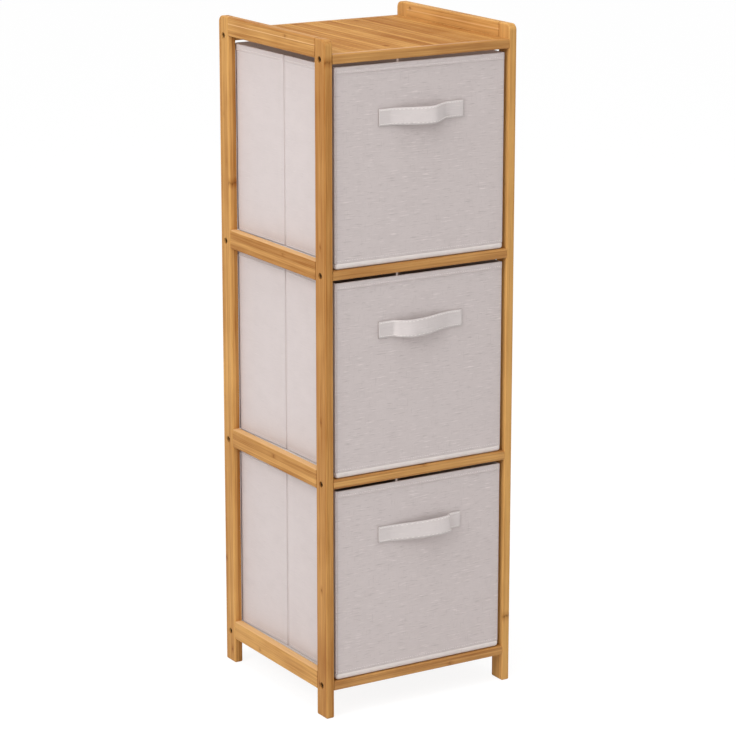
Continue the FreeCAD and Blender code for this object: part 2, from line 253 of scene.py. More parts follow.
def bamboo(name, grain, across, strip_width, tone, contrast=0.36, glue_strength=0.3, gloss=0.1,
           roughness=0.44, inner_painted_shade=0.0, front_painted_light=0.0, painted_top_highlight=False):
    """tone is 0 for pale and 1 for deep bamboo, and contrast the spread of tones from strip to strip."""
    finish, shader, wire, axes = start_finish(name)
    through = X + Y + Z - grain - across
    strips = axes[across] / strip_width + 0.5
    strip = strips.floor()
    piece = (axes[through] / PIECE_PITCH).floor()
    dice = wire.chance(strip, piece, 1.0)

    fibre = wire.cloud(axes[across] * FIBRES_PER_METRE, axes[grain] * FIBRE_BREAKS + dice * FIBRE_SHIFT,
                       axes[through] * FIBRES_PER_METRE, FIBRE_DETAIL)
    streak = wire.cloud(axes[across] * STREAKS_PER_METRE, axes[grain] * STREAK_BREAKS + dice * STREAK_SHIFT,
                        axes[through] * STREAKS_PER_METRE)
    drift = wire.cloud(axes[X] * DRIFTS_PER_METRE, axes[Y] * DRIFTS_PER_METRE,
                       axes[Z] * DRIFTS_PER_METRE + DRIFT_SHIFT)

    steps = axes[grain] / KNUCKLE_PITCH + dice * KNUCKLE_SHIFT
    shown = wire.chance(strip, piece, steps.floor()).smooth(KNUCKLE_RARITY, 1.0)
    ragged = (streak - 0.5) * STREAK_RAGGED + (fibre - 0.5) * FIBRE_RAGGED
    from_knuckle = ((steps.fraction() - 0.5) * KNUCKLE_PITCH + ragged).size()
    from_glue = (0.5 - (strips.fraction() - 0.5).size()) * strip_width
    bar = 1 - from_knuckle.smooth(*KNUCKLE_WIDTHS)
    knuckle = bar * shown * fibre.smooth(*KNUCKLE_WEAR) * from_glue.smooth(0.0, KNUCKLE_FROM_GLUE)
    halo = (1 - from_knuckle.smooth(0.0, KNUCKLE_SPREAD)) * shown * from_glue.smooth(0.0, HALO_FROM_GLUE)
    glue = 1 - from_glue.smooth(0.0, GLUE_WIDTH)

    depth = (dice - 0.5) * contrast + tone + halo * HALO_TONE
    depth = depth + (fibre - 0.5) * FIBRE_TONE + (streak - 0.5) * STREAK_TONE + (drift - 0.5) * DRIFT_TONE
    # Painted shade: the inner half of a post is darker, where it stands by the box.
    if inner_painted_shade:
        depth = depth + axes[X].smooth(*INNER_PAINTED_SHADE) * inner_painted_shade
    # Painted light: the front face of a post is paler.
    if front_painted_light:
        depth = depth + (1 - axes[Y].smooth(*FRONT_PAINTED_LIGHT)) * front_painted_light
    wood = wire.mix(depth, PALE_BAMBOO, DEEP_BAMBOO)
    wood = wire.mix(glue * glue_strength, wood, GLUE_BROWN)
    wood = wire.mix(knuckle * KNUCKLE_STRENGTH, wood, KNUCKLE_BROWN)
    # Painted highlight: paler bamboo along the top edge of each side rail, where light from above falls.
    if painted_top_highlight:
        under_top = ((RAIL_TOP - axes[Z]) / LEVEL_PITCH + PAINTED_HIGHLIGHT_TURNS).fraction() * LEVEL_PITCH
        wood = wire.mix((1 - under_top.smooth(*PAINTED_HIGHLIGHT_DEPTHS)) * (PAINTED_HIGHLIGHT_STRENGTH - fibre), wood, PAINTED_HIGHLIGHT_BAMBOO)
    feed(shader, "Base Color", wood)
    feed(shader, "Roughness", fibre * ROUGHNESS_SPREAD + roughness)
    relief = fibre * FIBRE_RELIEF - glue * GLUE_RELIEF - knuckle * KNUCKLE_RELIEF
    bump = {"Strength": BAMBOO_BUMP, "Distance": BAMBOO_BUMP_HEIGHT, "Height": relief}
    feed(shader, "Normal", wire.node("ShaderNodeBump", None, bump))
    shader.inputs["Specular IOR Level"].default_value = gloss
    return finish


print("bamboo rule ready, a knuckle every", round(KNUCKLE_PITCH / MM), "mm at most")

# %% [markdown]
# The fibres run up the posts, back along the side rails and across the front and rear rails. The shelf
# panels are strips laid side by side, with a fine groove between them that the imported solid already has.
# So each kind of piece gets the same rule, turned its own way. No two lengths of bamboo match, so each
# post and each left side rail has a tone of its own, and the top of the shelf is more matt than the
# posts.

# %% Dress the bamboo frame
top_low, top_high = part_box("shelf_panel_top")
PANEL_STRIPS = 30
PANEL_STRIP = (top_high.x - top_low.x) / PANEL_STRIPS
PANEL_TONE = 0.58
PANEL_LOOK = {"contrast": 0.5, "glue_strength": 0.9, "gloss": 0.05, "roughness": 0.6}
POST_STRIP = 7.8 * MM
POST_TONES = {"left_front": 0.57, "left_rear": 0.38, "right_front": 0.1, "right_rear": 0.34}
# Painted shade on the inner half of the rear left post, and painted light on the front face of the front left
# post.
POST_PAINTED_LIGHT_AND_SHADE = {"left_rear": {"inner_painted_shade": 0.5}, "left_front": {"front_painted_light": -0.19}}
RAIL_STRIP = 8.2 * MM
SIDE_RAIL_TONES = {
    "left_top": 0.52,
    "left_upper": 0.56,
    "left_lower": 0.42,
    "left_bottom": 0.1,
    "right": 0.24,
}
CROSS_RAIL_TONE = 0.46
CROSS_RAIL_LOOK = {"gloss": 0.25, "roughness": 0.32}

frame_finishes = {"shelf_panel": bamboo("bamboo_panel", Y, X, PANEL_STRIP, PANEL_TONE, **PANEL_LOOK)}
for place, tone in POST_TONES.items():
    post_finish = bamboo(f"bamboo_post_{place}", Z, Y, POST_STRIP, tone, **POST_PAINTED_LIGHT_AND_SHADE.get(place, {}))
    frame_finishes[f"post_{place}"] = post_finish
# Every side rail gets the painted highlight along its upper edge.
for place, tone in SIDE_RAIL_TONES.items():
    rail_finish = bamboo(f"bamboo_side_rail_{place}", Y, Z, RAIL_STRIP, tone, painted_top_highlight=True)
    frame_finishes[f"side_rail_{place}"] = rail_finish
for rail in ("front_rail", "rear_rail"):
    frame_finishes[rail] = bamboo(f"bamboo_{rail}", X, Z, RAIL_STRIP, CROSS_RAIL_TONE, **CROSS_RAIL_LOOK)

dressed = 0
for node_name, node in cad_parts.items():
    for start, finish in frame_finishes.items():
        if node_name.startswith(start):
            node.material_slots[0].material = finish
            dressed += 1
print("bamboo pieces dressed:", dressed)

# %% [markdown]
# Sixteen connecting screws hold the cross rails. Their heads sit deep in the posts and look dark bronze.
# The dowels of the side frames are hidden, but they are real pieces, so they get plain turned beech.

# %% Dress the screws and dowels
SCREW_BRONZE = linear(92, 68, 36)
SCREW_WORN = linear(150, 118, 66)
SCREW_WEAR_PER_METRE, SCREW_WEAR_DETAIL = 700.0, 4.0
SCREW_WEAR = (0.5, 0.75)
SCREW_ROUGHNESS, SCREW_ROUGHNESS_SPREAD = 0.28, 0.3
SCREW_METAL = 0.9
DOWEL_PALE = linear(214, 182, 138)
DOWEL_DEEP = linear(186, 148, 104)
DOWEL_FIBRES_PER_METRE, DOWEL_BREAKS, DOWEL_DETAIL = 800.0, 60.0, 3.0
DOWEL_ROUGHNESS, DOWEL_ROUGHNESS_SPREAD = 0.5, 0.2


def bronzed_steel(name):
    finish, shader, wire, axes = start_finish(name)
    wear = even_cloud(wire, axes, SCREW_WEAR_PER_METRE, SCREW_WEAR_DETAIL)
    feed(shader, "Base Color", wire.mix(wear.smooth(*SCREW_WEAR), SCREW_BRONZE, SCREW_WORN))
    feed(shader, "Roughness", wear * SCREW_ROUGHNESS_SPREAD + SCREW_ROUGHNESS)
    shader.inputs["Metallic"].default_value = SCREW_METAL
    return finish


def turned_beech(name):
    finish, shader, wire, axes = start_finish(name)
    fibre = wire.cloud(axes[X] * DOWEL_FIBRES_PER_METRE, axes[Y] * DOWEL_BREAKS,
                       axes[Z] * DOWEL_FIBRES_PER_METRE, DOWEL_DETAIL)
    feed(shader, "Base Color", wire.mix(fibre, DOWEL_PALE, DOWEL_DEEP))
    feed(shader, "Roughness", fibre * DOWEL_ROUGHNESS_SPREAD + DOWEL_ROUGHNESS)
    return finish


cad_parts["frame_screws"].material_slots[0].material = bronzed_steel("screw_bronze")
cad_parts["side_frame_dowels"].material_slots[0].material = turned_beech("dowel_beech")
print("screws and dowels dressed")

# %% [markdown]
# The boxes are covered in a linen-look cloth: a plain weave with slubs, the short thick places in the
# yarn that show as pale and dark dashes. The weave itself is finer than a millimetre, so it is only a
# bump, while the slubs are in the colour as well. A wall hangs in its own plane, so the finish is told
# which axis is weft and which is warp, and the same rule serves the fronts, the sides, the floors and the
# handles.

# %% Make the linen finish
LINEN = (212, 201, 199)
STRAP_LINEN = (217, 208, 206)
# Painted shade: the darker linen on the narrow edges of a handle.
STRAP_EDGE_PAINTED_SHADE = (164, 152, 148)
# Painted light: the floor cloth is paler than the walls.
FOOT_LINEN_PAINTED_LIGHT = (230, 221, 217)
# Painted shade: the crease cloth is darker than the walls.
CREASE_PAINTED_SHADE = (207, 196, 193)
PALE_STEP, DULL_STEP = 17, 20
THREAD_PITCH = 1.1 * MM
SLUB_LENGTH, SLUB_HEIGHT = 20 * MM, 1.9 * MM
FLECK_FINER, FLECK_FLATTER = 2.1, 1.4
CRUMPLE_WIDTH, CRUMPLE_HEIGHT = 11 * MM, 8 * MM
MOTTLES_ACROSS, MOTTLES_UP, MOTTLE_DETAIL = 26.0, 40.0, 3.0
SIDE_PITCH = 20 * MM
SIDE_SHIFT, MOTTLE_SIDE_SHIFT = 5.0, 3.0
MOTTLE_SEED, UPRIGHT_SEED, FLECK_SEED, CRUMPLE_SEED = 4.0, 9.0, 21.0, 33.0
MOTTLE_START, MOTTLE_STRENGTH = 0.3, 0.5
PATCHES = (0.3, 0.65)
PALE_SLUBS, DULL_SLUBS = (0.54, 0.78), (0.22, 0.42)
DULL_FLECKS, FLECK_STRENGTH = (0.22, 0.4), 0.8
DULL_UPRIGHTS, UPRIGHT_STRENGTH = (0.24, 0.4), 0.4
WEAVE_RELIEF, SLUB_RELIEF, UPRIGHT_RELIEF, CRUMPLE_RELIEF = 0.3, 0.9, 0.6, 2.2
LINEN_BUMP, LINEN_BUMP_LEAST, LINEN_BUMP_HEIGHT = 0.3, 0.06, 0.5 * MM
LINEN_ROUGHNESS, LINEN_ROUGHNESS_SPREAD = 0.82, 0.1
LINEN_SHEEN, LINEN_SHEEN_ROUGHNESS = 0.12, 0.5


def linen(name, weft, warp, colour, slubs):
    """slubs is how strongly the thick places of the yarn show."""
    finish, shader, wire, axes = start_finish(name)
    side = (axes[X + Y + Z - weft - warp] / SIDE_PITCH).floor()
    across, up = axes[weft], axes[warp]
    shift = side * SIDE_SHIFT
    slub = wire.cloud(across / SLUB_LENGTH, up / SLUB_HEIGHT, shift)
    upright = wire.cloud(across / SLUB_HEIGHT, up / SLUB_LENGTH, shift + UPRIGHT_SEED)
    fleck = wire.cloud(across / SLUB_LENGTH * FLECK_FINER, up / SLUB_HEIGHT * FLECK_FLATTER,
                       shift + FLECK_SEED)
    crumple = wire.cloud(across / CRUMPLE_WIDTH, up / CRUMPLE_HEIGHT, shift + CRUMPLE_SEED)
    mottle = wire.cloud(across * MOTTLES_ACROSS, up * MOTTLES_UP, side * MOTTLE_SIDE_SHIFT + MOTTLE_SEED,
                        MOTTLE_DETAIL)
    turn = 2 * math.pi / THREAD_PITCH
    weave = (across * turn).sine() * (up * turn).sine()

    pale = linear(*(min(CHART_STEPS, tone + PALE_STEP) for tone in colour))
    dull = linear(*(tone - DULL_STEP for tone in colour))
    pale_slubs = slub.smooth(*PALE_SLUBS) * mottle.smooth(*PATCHES)
    cloth = wire.mix((mottle - MOTTLE_START) * MOTTLE_STRENGTH, linear(*colour), dull)
    cloth = wire.mix(pale_slubs * slubs, cloth, pale)
    cloth = wire.mix((1 - slub.smooth(*DULL_SLUBS)) * slubs, cloth, dull)
    cloth = wire.mix((1 - fleck.smooth(*DULL_FLECKS)) * (FLECK_STRENGTH * slubs), cloth, dull)
    cloth = wire.mix((1 - upright.smooth(*DULL_UPRIGHTS)) * (UPRIGHT_STRENGTH * slubs), cloth, dull)
    feed(shader, "Base Color", cloth)
    feed(shader, "Roughness", mottle * LINEN_ROUGHNESS_SPREAD + LINEN_ROUGHNESS)
    relief = weave * WEAVE_RELIEF + slub * SLUB_RELIEF + upright * UPRIGHT_RELIEF + crumple * CRUMPLE_RELIEF
    strength = LINEN_BUMP * slubs + LINEN_BUMP_LEAST
    bump = {"Strength": strength, "Distance": LINEN_BUMP_HEIGHT, "Height": relief}
    feed(shader, "Normal", wire.node("ShaderNodeBump", None, bump))
    shader.inputs["Sheen Weight"].default_value = LINEN_SHEEN
    shader.inputs["Sheen Roughness"].default_value = LINEN_SHEEN_ROUGHNESS
    return finish


face_linen = linen("linen_face", X, Z, LINEN, 1.2)
side_linen = linen("linen_side", Y, Z, LINEN, 0.3)
crease_painted_shade_linen = linen("linen_crease_painted_shade", Y, Z, CREASE_PAINTED_SHADE, 0.3)
floor_linen_painted_light = linen("linen_floor_painted_light", X, Y, FOOT_LINEN_PAINTED_LIGHT, 0.4)
strap_linen = linen("linen_strap", X, Z, STRAP_LINEN, 0.6)
strap_edge_painted_shade_linen = linen("linen_strap_edge_painted_shade", X, Z, STRAP_EDGE_PAINTED_SHADE, 0.4)
print("linen finishes:", [m.name for m in bpy.data.materials if m.name.startswith("linen")])

# %% [markdown]
# Three more finishes belong to the sewing: a pale twisted thread, a felt-like lining and the tape in the
# corners. Daylight comes through the cloth near the rim of a real box. Cloth that lets light through is
# slow to render, so the lining has a faint glow of its own instead, which fades below the rim and is
# stronger in the top box.

# %% Make the thread, lining and tape finishes
THREAD_COLOUR = linear(246, 240, 237)
THREAD_SHADE = linear(216, 208, 204)
THREAD_TWIST = 0.9 * MM
THREAD_SHADE_STRENGTH = 0.4
THREAD_ROUGHNESS, THREAD_ROUGHNESS_SPREAD = 0.6, 0.1
FUZZ_PER_METRE, TAPE_RIBS_PER_METRE, FUZZ_DETAIL = 900.0, 300.0, 3.0
FUZZ = (0.3, 0.7)
FUZZ_ROUGHNESS_SPREAD = 0.1
LINING = linear(206, 196, 190)
LINING_DULL = linear(190, 180, 174)
LINING_ROUGHNESS = 0.85
TAPE = linear(156, 147, 142)
TAPE_DULL = linear(140, 130, 125)
TAPE_ROUGHNESS = 0.8
TAPE_GLOW = linear(168, 151, 143)
RIM_GLOW = linear(92, 78, 72)
NO_GLOW = (0.0, 0.0, 0.0, 1.0)
RIM_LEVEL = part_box("box_upper_front_panel")[1].z
BOX_PITCH = RIM_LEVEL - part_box("box_lower_front_panel")[1].z
RIM_TURNS = 4.0
GLOW_DEPTH = 120 * MM
GLOW_HEIGHTS = (700 * MM, 900 * MM)
GLOW_LEAST = 0.15


def sewing_thread(name):
    finish, shader, wire, axes = start_finish(name)
    twist = ((axes[X] + axes[Y] + axes[Z]) * (2 * math.pi / THREAD_TWIST)).sine()
    shade = twist * 0.5 + 0.5
    feed(shader, "Base Color", wire.mix(shade * THREAD_SHADE_STRENGTH, THREAD_COLOUR, THREAD_SHADE))
    feed(shader, "Roughness", shade * THREAD_ROUGHNESS_SPREAD + THREAD_ROUGHNESS)
    return finish


def box_lining(name):
    finish, shader, wire, axes = start_finish(name)
    fuzz = even_cloud(wire, axes, FUZZ_PER_METRE, FUZZ_DETAIL)
    feed(shader, "Base Color", wire.mix(fuzz.smooth(*FUZZ), LINING, LINING_DULL))
    feed(shader, "Roughness", fuzz * FUZZ_ROUGHNESS_SPREAD + LINING_ROUGHNESS)
    under_rim = ((RIM_LEVEL - axes[Z]) / BOX_PITCH + RIM_TURNS).fraction() * BOX_PITCH
    height = axes[Z].smooth(*GLOW_HEIGHTS) * (1 - GLOW_LEAST) + GLOW_LEAST
    shade = (1 - under_rim.smooth(0.0, GLOW_DEPTH)) * height
    feed(shader, "Emission Color", wire.mix(shade, NO_GLOW, RIM_GLOW))
    shader.inputs["Emission Strength"].default_value = 1.0
    return finish


def seam_tape(name):
    finish, shader, wire, axes = start_finish(name)
    fuzz = wire.cloud(axes[X] * FUZZ_PER_METRE, axes[Y] * FUZZ_PER_METRE, axes[Z] * TAPE_RIBS_PER_METRE,
                      FUZZ_DETAIL)
    feed(shader, "Base Color", wire.mix(fuzz.smooth(*FUZZ), TAPE, TAPE_DULL))
    feed(shader, "Roughness", fuzz * FUZZ_ROUGHNESS_SPREAD + TAPE_ROUGHNESS)
    shader.inputs["Emission Color"].default_value = TAPE_GLOW
    shader.inputs["Emission Strength"].default_value = 1.0
    return finish


thread = sewing_thread("sewing_thread")
lining = box_lining("box_lining")
tape = seam_tape("seam_tape")
print("sewing finishes:", thread.name, lining.name, tape.name)

# %% [markdown]
# Every wall is a thin board wrapped in cloth. A cube could be scaled and left, but a wrapped board has
# soft edges, a doubled hem at the rim and cloth that lies a little unevenly. So a cube is scaled to the
# packed wall, its edges are bevelled, and it is sliced into a fine grid. Each point of that grid is then
# let down into the board by a small depth, which is less at the hem and wanders gently in the field below
# it.

# %% Helpers for boards
ROUND_STEPS = 3
GRID = 8 * MM
RIM_LOOP = 2.4 * MM
SKIN = 0.05 * MM
CUT_MERGE = 1e-7


def soft_step(share):
    share = min(1.0, max(0.0, share))
    return share * share * (3 - 2 * share)


def round_edges(bm, edges, radius):
    bmesh.ops.bevel(bm, geom=edges, offset=radius, offset_type="OFFSET", affect="EDGES",
                    segments=ROUND_STEPS, profile=0.5, material=-1)


def edges_at(bm, height):
    return [edge for edge in bm.edges if all(abs(vert.co.z - height) < SKIN for vert in edge.verts)]


def upright_edges(bm, depth):
    """The edges of a panel that stand upright on its face at this depth."""
    found = []
    for edge in bm.edges:
        ends = [vert.co for vert in edge.verts]
        on_face = all(abs(end.y - depth) < SKIN for end in ends)
        if on_face and abs(ends[0].x - ends[1].x) < SKIN:
            found.append(edge)
    return found


def board(low, high):
    bm = bmesh.new()
    bmesh.ops.create_cube(bm, size=1.0)
    bmesh.ops.scale(bm, vec=high - low, verts=bm.verts)
    bmesh.ops.translate(bm, vec=(low + high) / 2, verts=bm.verts)
    return bm


def slice_board(bm, axis, places):
    plane = Vector((0, 0, 0))
    plane[axis] = 1
    for place in places:
        bmesh.ops.bisect_plane(bm, geom=bm.verts[:] + bm.edges[:] + bm.faces[:], dist=CUT_MERGE,
                               plane_co=plane * place, plane_no=plane)


def grid_places(low, high):
    """Even cuts between two ends, with one extra cut close to each end to hold its rounding."""
    count = round((high - low) / GRID)
    inner = [low + (high - low) * i / count for i in range(1, count)]
    return [low + RIM_LOOP, *inner, high - RIM_LOOP]


print("boards are cut every", round(GRID / MM, 1), "mm")

# %% [markdown]
# How deep the cloth lies is a rule of its own, because the stitches need it too. The hem is thicker than
# the field, with a ridge where it ends, and both wander on slow noise that dies out at the borders. The
# soft rear half sides of the real boxes stand out towards the rear corner, and the second rule gives that
# flare.

# %% Helpers for cloth
HEM = 9.5 * MM
HEM_STEP = 0.9 * MM
HEM_RIDGE = 0.8 * MM
HEM_RIDGE_HALF = 1.2 * MM
HEM_RIDGE_SHARES = (-1.0, -0.5, 0.0, 0.5, 1.0)
RIDGE_FADE = 6 * MM
HEM_SINK = 0.5 * MM
FACE_SINK = 1.1 * MM
WRINKLE = 0.95 * MM
WRINKLE_WIDTH = 110 * MM
WRINKLE_HEIGHT = 60 * MM
WAVE_SHARE, RIPPLE_SHARE = 0.5, 0.15
RIPPLE_FINER, RIPPLE_SEED = 2, 7
EASE_BORDER = 30 * MM
REAR_FLARE = 4.8 * MM
FLARE_END = 3.5 * MM


def cloth_depth(spot, low, high, across, seed):
    """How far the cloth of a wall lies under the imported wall's face at one spot."""
    below_hem = high.z - HEM - spot.z
    from_end = min(spot[across] - low[across], high[across] - spot[across])
    ridge = HEM_RIDGE * (1 - soft_step(abs(below_hem) / HEM_RIDGE_HALF)) * soft_step(from_end / RIDGE_FADE)
    border = min(from_end, spot.z - low.z, below_hem)
    wave = noise.noise(Vector((spot[across] / WRINKLE_WIDTH, spot.z / WRINKLE_HEIGHT, seed)))
    finer = RIPPLE_FINER / WRINKLE_HEIGHT
    ripple = noise.noise(Vector((spot[across] * finer, spot.z * finer, seed + RIPPLE_SEED)))
    wander = 0.5 + WAVE_SHARE * wave + RIPPLE_SHARE * ripple
    sunk = HEM_SINK + (FACE_SINK - HEM_SINK) * soft_step(below_hem / HEM_STEP)
    return sunk - ridge + WRINKLE * wander * soft_step(border / EASE_BORDER)


def rear_flare(spot, low, high):
    """How far a rear half side stands out, more towards the rear corner and none at its two ends."""
    share = (spot.y - low.y) / (high.y - low.y)
    return REAR_FLARE * share * soft_step((high.y - spot.y) / FLARE_END)


def finish_piece(bm, name, body, slot, *finishes):
    """Turns a bmesh into a piece that rides on a body of the frame."""
    for face in bm.faces:
        face.smooth = True
    mesh = bpy.data.meshes.new(name)
    bm.to_mesh(mesh)
    bm.free()
    for finish in finishes:
        mesh.materials.append(finish)
    piece = bpy.data.objects.new(name, mesh)
    bpy.context.scene.collection.objects.link(piece)
    if body:
        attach(piece, body)
    return piece


print("cloth depth at a hem:", HEM_SINK / MM, "mm, in the field: about", (FACE_SINK + WRINKLE / 2) / MM, "mm")

# %% [markdown]
# A stitch is a short bead of thread that sinks into the cloth at both ends. A dashed line in the material
# would do from far away, but not in a close view, so each stitch is a small stretched ball with few
# faces. One function lays a row of them between two points.

# %% Helper for rows of stitches
STITCH_PITCH = 4.2 * MM
STITCH = Vector((3.3, 0.8, 0.6)) * MM
THREAD_SLOT = 1


def lay_stitch(bm, spot, along, out, scale=1.0):
    across = out.cross(along).normalized()
    turn = Matrix((along, across, out)).transposed().to_4x4()
    shape = Matrix.Translation(spot) @ turn @ Matrix.Diagonal((*(STITCH * scale / 2), 1))
    made = bmesh.ops.create_icosphere(bm, subdivisions=1, radius=1.0, matrix=shape)
    for vert in made["verts"]:
        for face in vert.link_faces:
            face.material_index = THREAD_SLOT


def stitch_row(bm, start, end, out, surface):
    """Stitches from start to end. The surface function gives the spot on the cloth for each."""
    along = (end - start).normalized()
    count = max(1, round((end - start).length / STITCH_PITCH))
    for i in range(count):
        lay_stitch(bm, surface(start.lerp(end, (i + 0.5) / count)), along, out)
    return count


print("stitch length in mm:", round(STITCH.x / MM, 2))

# %% [markdown]
# Now the walls: a front, a back and four half sides for each box. The half sides meet in a crease, which
# lets the real box fold flat. Each wall rides on its own body, so the fold can be shown later without any
# new work. The front is a soft cushion of cloth, so its whole edge is let down with its face and it drops
# away a little at both sides. On the other walls only the faces sink, so their edges stay up as a narrow
# welt.

# %% Sew the walls of the three boxes
BOXES = ("upper", "lower", "bottom")
WALL_ROUND = 1.4 * MM
FOOT_ROUND = 0.5 * MM
CORNER_ROUND = 2.8 * MM
HEM_SEAM = 7.2 * MM
FOOT_SEAM = 4.0 * MM
SEAM_END = 3.0 * MM
FOOT_CLEAR = 0.1 * MM
LEAF_LIFT = 1.8 * MM
CREASE_LAP = 0.4 * MM
LINING_SLOT = 2
LINING_TURN = -0.7
WELT_SHARE = 0.012
FRONT_DROPS = (0.8 * MM, 0.3 * MM)
FRONT_DROP_WIDTH = 26 * MM
BOX_SEED, WALL_SEED = 11.0, 3.7
WALLS = (
    ("front_panel", "_front", Y, -1, face_linen),
    ("back_panel", "", Y, 1, face_linen),
    ("left_front_leaf", "_left_front", X, -1, side_linen),
    ("left_rear_leaf", "_left_rear", X, -1, side_linen),
    ("right_front_leaf", "_right_front", X, 1, side_linen),
    ("right_rear_leaf", "_right_rear", X, 1, side_linen),
)


def wall_board(box, wall, low, high):
    """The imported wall's slab, set down on the floor's cloth and drawn to its neighbour at the crease."""
    low.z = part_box(f"box_{box}_base")[1].z + FOOT_CLEAR
    if wall.endswith("leaf"):
        low.z += LEAF_LIFT
    if wall.endswith("front_leaf"):
        high.y += CREASE_LAP
    if wall.endswith("rear_leaf"):
        low.y -= CREASE_LAP
    bm = board(low, high)
    if wall.endswith("panel"):
        outer, inner = (low.y, high.y) if wall == "front_panel" else (high.y, low.y)
        round_edges(bm, upright_edges(bm, outer), CORNER_ROUND)
        round_edges(bm, edges_at(bm, high.z) + upright_edges(bm, inner), WALL_ROUND)
    else:
        foot = edges_at(bm, low.z)
        round_edges(bm, [edge for edge in bm.edges if edge not in foot], WALL_ROUND)
    round_edges(bm, edges_at(bm, low.z), FOOT_ROUND)
    return bm


def sew_seams(bm, low, high, flat, faces, settled):
    """Stitches along the hem and the foot of a wall, on its outside and on its inside."""
    across = X + Y - flat
    count = 0
    for face, way in faces:
        out = Vector((0, 0, 0))
        out[flat] = way
        for height in (high.z - HEM_SEAM, low.z + FOOT_SEAM):
            start, end = low.copy(), high.copy()
            start.z = end.z = height
            start[flat] = end[flat] = face
            start[across] += SEAM_END
            end[across] -= SEAM_END
            count += stitch_row(bm, start, end, out, settled)
    return count


def sew_wall(box, wall, body_end, flat, outer, finish, seed):
    node = f"box_{box}_{wall}"
    low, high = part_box(node)
    bm = wall_board(box, wall, low, high)
    across = X + Y - flat
    soft_sides = wall == "front_panel"
    thickness = high[flat] - low[flat]
    outer_face, inner_face = (low[flat], high[flat]) if outer < 0 else (high[flat], low[flat])
    slice_board(bm, across, grid_places(low[across], high[across]))
    seam = [high.z - HEM + HEM_RIDGE_HALF * share for share in HEM_RIDGE_SHARES]
    slice_board(bm, Z, grid_places(low.z, high.z - HEM) + seam + [high.z - RIM_LOOP])

    def settled(spot):
        """Where a spot of the slab comes to rest: outside under the cloth, inside under the lining."""
        spot = spot.copy()
        through = abs(spot[flat] - inner_face) / thickness
        flare = rear_flare(spot, low, high) * through if wall.endswith("rear_leaf") else 0.0
        outside = through if soft_sides else float(through > 1 - WELT_SHARE)
        inside = 1 - through if soft_sides else float(through < WELT_SHARE)
        depth = cloth_depth(spot, low, high, across, seed)
        if soft_sides:
            for drop, inwards in zip(FRONT_DROPS, (spot.x - low.x, high.x - spot.x)):
                depth += drop * (1 - soft_step(inwards / FRONT_DROP_WIDTH))
        spot[flat] += outer * (flare - depth * outside + HEM_SINK * inside)
        return spot

    for face in bm.faces:
        if face.normal[flat] * outer < LINING_TURN:
            face.material_index = LINING_SLOT
    for vert in bm.verts:
        vert.co = settled(vert.co)
    count = sew_seams(bm, low, high, flat, ((outer_face, outer), (inner_face, -outer)), settled)
    piece = finish_piece(bm, f"{node}_cloth", f"box_{box}{body_end}", "box_fabric", finish, thread, lining)
    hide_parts(node)
    return count


stitches = 0
for number, box in enumerate(BOXES):
    for order, (wall, body_end, flat, outer, finish) in enumerate(WALLS):
        seed = BOX_SEED * number + WALL_SEED * order
        stitches += sew_wall(box, wall, body_end, flat, outer, finish, seed)
print("walls sewn:", len(BOXES) * len(WALLS), "with", stitches, "stitches")

# %% [markdown]
# The floor of a box is a board in a flat cloth bag, and its rolled edge shows under the walls as a band.
# Its cloth is paler than the walls as painted light, for the light the rolled edge catches from above. It
# is the same wrapped board laid flat, with a larger rounding and a gentle crown. Its brim follows the flare
# of the rear half sides.

# %% Sew the floors
BASE_ROUND = 4.6 * MM
BASE_TOP_ROUND = 1.6 * MM
BASE_CROWN = 0.8 * MM
BASE_WAVE, BASE_WAVE_SHARE = 40 * MM, 0.4
BASE_SEED = 5.0


def sew_floor(box, seed):
    node = f"box_{box}_base"
    low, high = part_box(node)
    bm = board(low, high)
    head = edges_at(bm, high.z)
    round_edges(bm, [edge for edge in bm.edges if edge not in head], BASE_ROUND)
    round_edges(bm, edges_at(bm, high.z), BASE_TOP_ROUND)
    for axis in (X, Y):
        slice_board(bm, axis, grid_places(low[axis] + BASE_ROUND, high[axis] - BASE_ROUND))
    leaf_low, leaf_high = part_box(f"box_{box}_left_rear_leaf")
    for vert in bm.verts:
        brim = (abs(vert.co.x) - high.x + BASE_ROUND) / BASE_ROUND
        if brim > 0 and leaf_low.y < vert.co.y < leaf_high.y:
            vert.co.x += math.copysign(rear_flare(vert.co, leaf_low, leaf_high) * brim, vert.co.x)
        if vert.co.z > high.z - SKIN:
            border = min(vert.co.x - low.x, high.x - vert.co.x, vert.co.y - low.y, high.y - vert.co.y)
            wave = noise.noise(Vector((vert.co.x, vert.co.y, seed)) / BASE_WAVE)
            crown = BASE_CROWN * (1 - BASE_WAVE_SHARE + BASE_WAVE_SHARE * wave)
            vert.co.z -= crown * soft_step(border / EASE_BORDER)
    # The floor cloth takes the paler linen of painted light.
    piece = finish_piece(bm, f"{node}_cloth", f"box_{box}", "box_fabric", floor_linen_painted_light)
    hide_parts(node)


for number, box in enumerate(BOXES):
    sew_floor(box, BASE_SEED * number)
print("floors sewn:", len(BOXES))

# %% [markdown]
# Between two boards there is only cloth: at the creases in the sides and at the corners. A corner strip
# is cut into many columns of points. A crease strip has none between the two boards and spans their ends.
# The crease cloth is a little darker than the walls, as painted shade in the fold, and the side of a strip
# that faces into the box is lined.

# %% Sew the hinges of cloth
CREASE_REACH, CORNER_REACH = 4.5 * MM, 3.2 * MM
CREASE_DEPTH, CORNER_DEPTH = 2.7 * MM, 3.0 * MM
CREASE_TURN, CORNER_TURN = -1.0 * MM, 1.8 * MM
CREASE_TUCK = 0.1 * MM
CORNER_STEPS = 16
HINGE_CLOTH = 0.7 * MM
HINGE_ROWS = 24
HINGE_LINING = 1
STAND_UP = Matrix(((0, 0, 1), (1, 0, 0), (0, 1, 0)))


